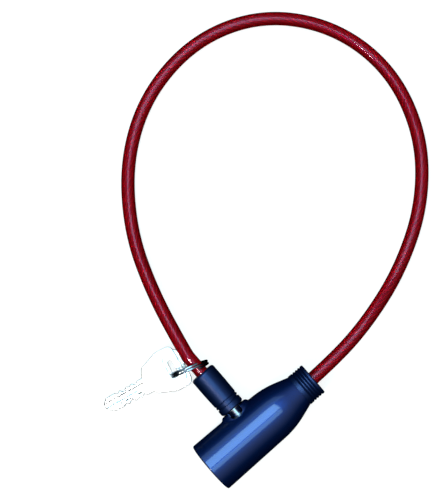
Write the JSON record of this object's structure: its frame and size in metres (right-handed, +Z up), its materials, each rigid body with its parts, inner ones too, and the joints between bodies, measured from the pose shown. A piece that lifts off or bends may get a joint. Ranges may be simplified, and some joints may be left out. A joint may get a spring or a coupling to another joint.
{
  "type": "keyed cable lock",
  "caption": "Keyed cable lock: bottle-shaped body with a side socket, a plug with a latched steel bolt, a clear red jacketed wire-rope loop, and flat keys on a split ring.",
  "frame": {"origin": "on the surface that the lock lies on, under the middle of the lock body's own box (cable, plug, ring and keys left out)", "axes": "+X along the lock body from the key face to the cable neck, +Y the way the plug pulls out of its socket, +Z up"},
  "size_m": [0.2581, 0.2124, 0.032],
  "materials": {
    "black_abs": "glossy blue-black moulding",
    "black_collar": "semi-gloss blue-black moulding, ribbed",
    "bezel_chrome": "bright plated",
    "zinc_casting": "die-cast, dull",
    "steel": "turned",
    "spring_steel": "drawn wire",
    "core_nickel": "nickel-plated, satin",
    "brass": "stamped",
    "bolt_steel": "turned and polished",
    "red_pvc": "clear red extruded jacket",
    "rope_steel": "stranded galvanised wire",
    "ring_steel": "nickel-plated wire",
    "key_nickel": "nickel-plated, bright"
  },
  "bodies": {
    "lock_body": {"cover": "black_abs", "neck_collar": "black_collar", "face_bezel": "bezel_chrome", "cylinder_case": "zinc_casting", "rear_block": "zinc_casting", "case_dowels": "steel", "spring_cap": "steel", "latch_spring": "spring_steel", "cable_crimp": "steel", "crimp_pin": "steel", "jacket_neck_half": "red_pvc", "rope_neck_half": "rope_steel"},
    "core": {"core": "core_nickel", "core_clip": "spring_steel", "drive_pin": "steel", "wafer_springs": "spring_steel"},
    "wafers": {"wafers": "brass"},
    "latch": {"latch": "steel"},
    "plug": {"bolt": "bolt_steel", "plug_ring": "black_collar", "plug_sleeve": "black_collar", "jacket_plug_half": "red_pvc", "rope_plug_half": "rope_steel"},
    "key_ring": {"key_ring": "ring_steel"},
    "key_a": {"key_a": "key_nickel"},
    "key_b": {"key_b": "key_nickel"}
  },
  "joints": [
    {"name": "plug_pull", "type": "slide", "parent": "lock_body", "child": "plug", "axis": [0, 1, 0], "range_m": [0, 0.028]},
    {"name": "key_turn", "type": "hinge", "parent": "lock_body", "child": "core", "pos_m": [-0.0395, -0.0005, 0.016], "axis": [1, 0, 0], "range_deg": [0, 90]},
    {"name": "wafer_lift", "type": "slide", "parent": "core", "child": "wafers", "axis": [0, 0, 1], "range_m": [0, 0.0009], "deforming": ["wafer_springs"]},
    {"name": "latch_slide", "type": "slide", "parent": "lock_body", "child": "latch", "axis": [0, 0, 1], "range_m": [0, 0.00283], "deforming": ["latch_spring"]},
    {"name": "ring_swing", "type": "hinge", "parent": "plug", "child": "key_ring", "pos_m": [-0.0071, 0.0503, 0.016], "axis": [0, 1, 0], "range_deg": [0, 60]},
    {"name": "key_a_fan", "type": "hinge", "parent": "key_ring", "child": "key_a", "pos_m": [-0.02035, 0.05374, 0.0061], "axis": [-0.0546, 0.0114, 0.9984], "range_deg": [0, 20]},
    {"name": "key_b_fan", "type": "hinge", "parent": "key_ring", "child": "key_b", "pos_m": [-0.01845, 0.05312, 0.0037], "axis": [-0.0542, 0.0133, 0.9984], "range_deg": [-20, 0]}
  ],
  "couplings": [
    {"joint": "latch_slide", "follows": "key_turn", "m_per_rad": 0.0018}
  ]
}
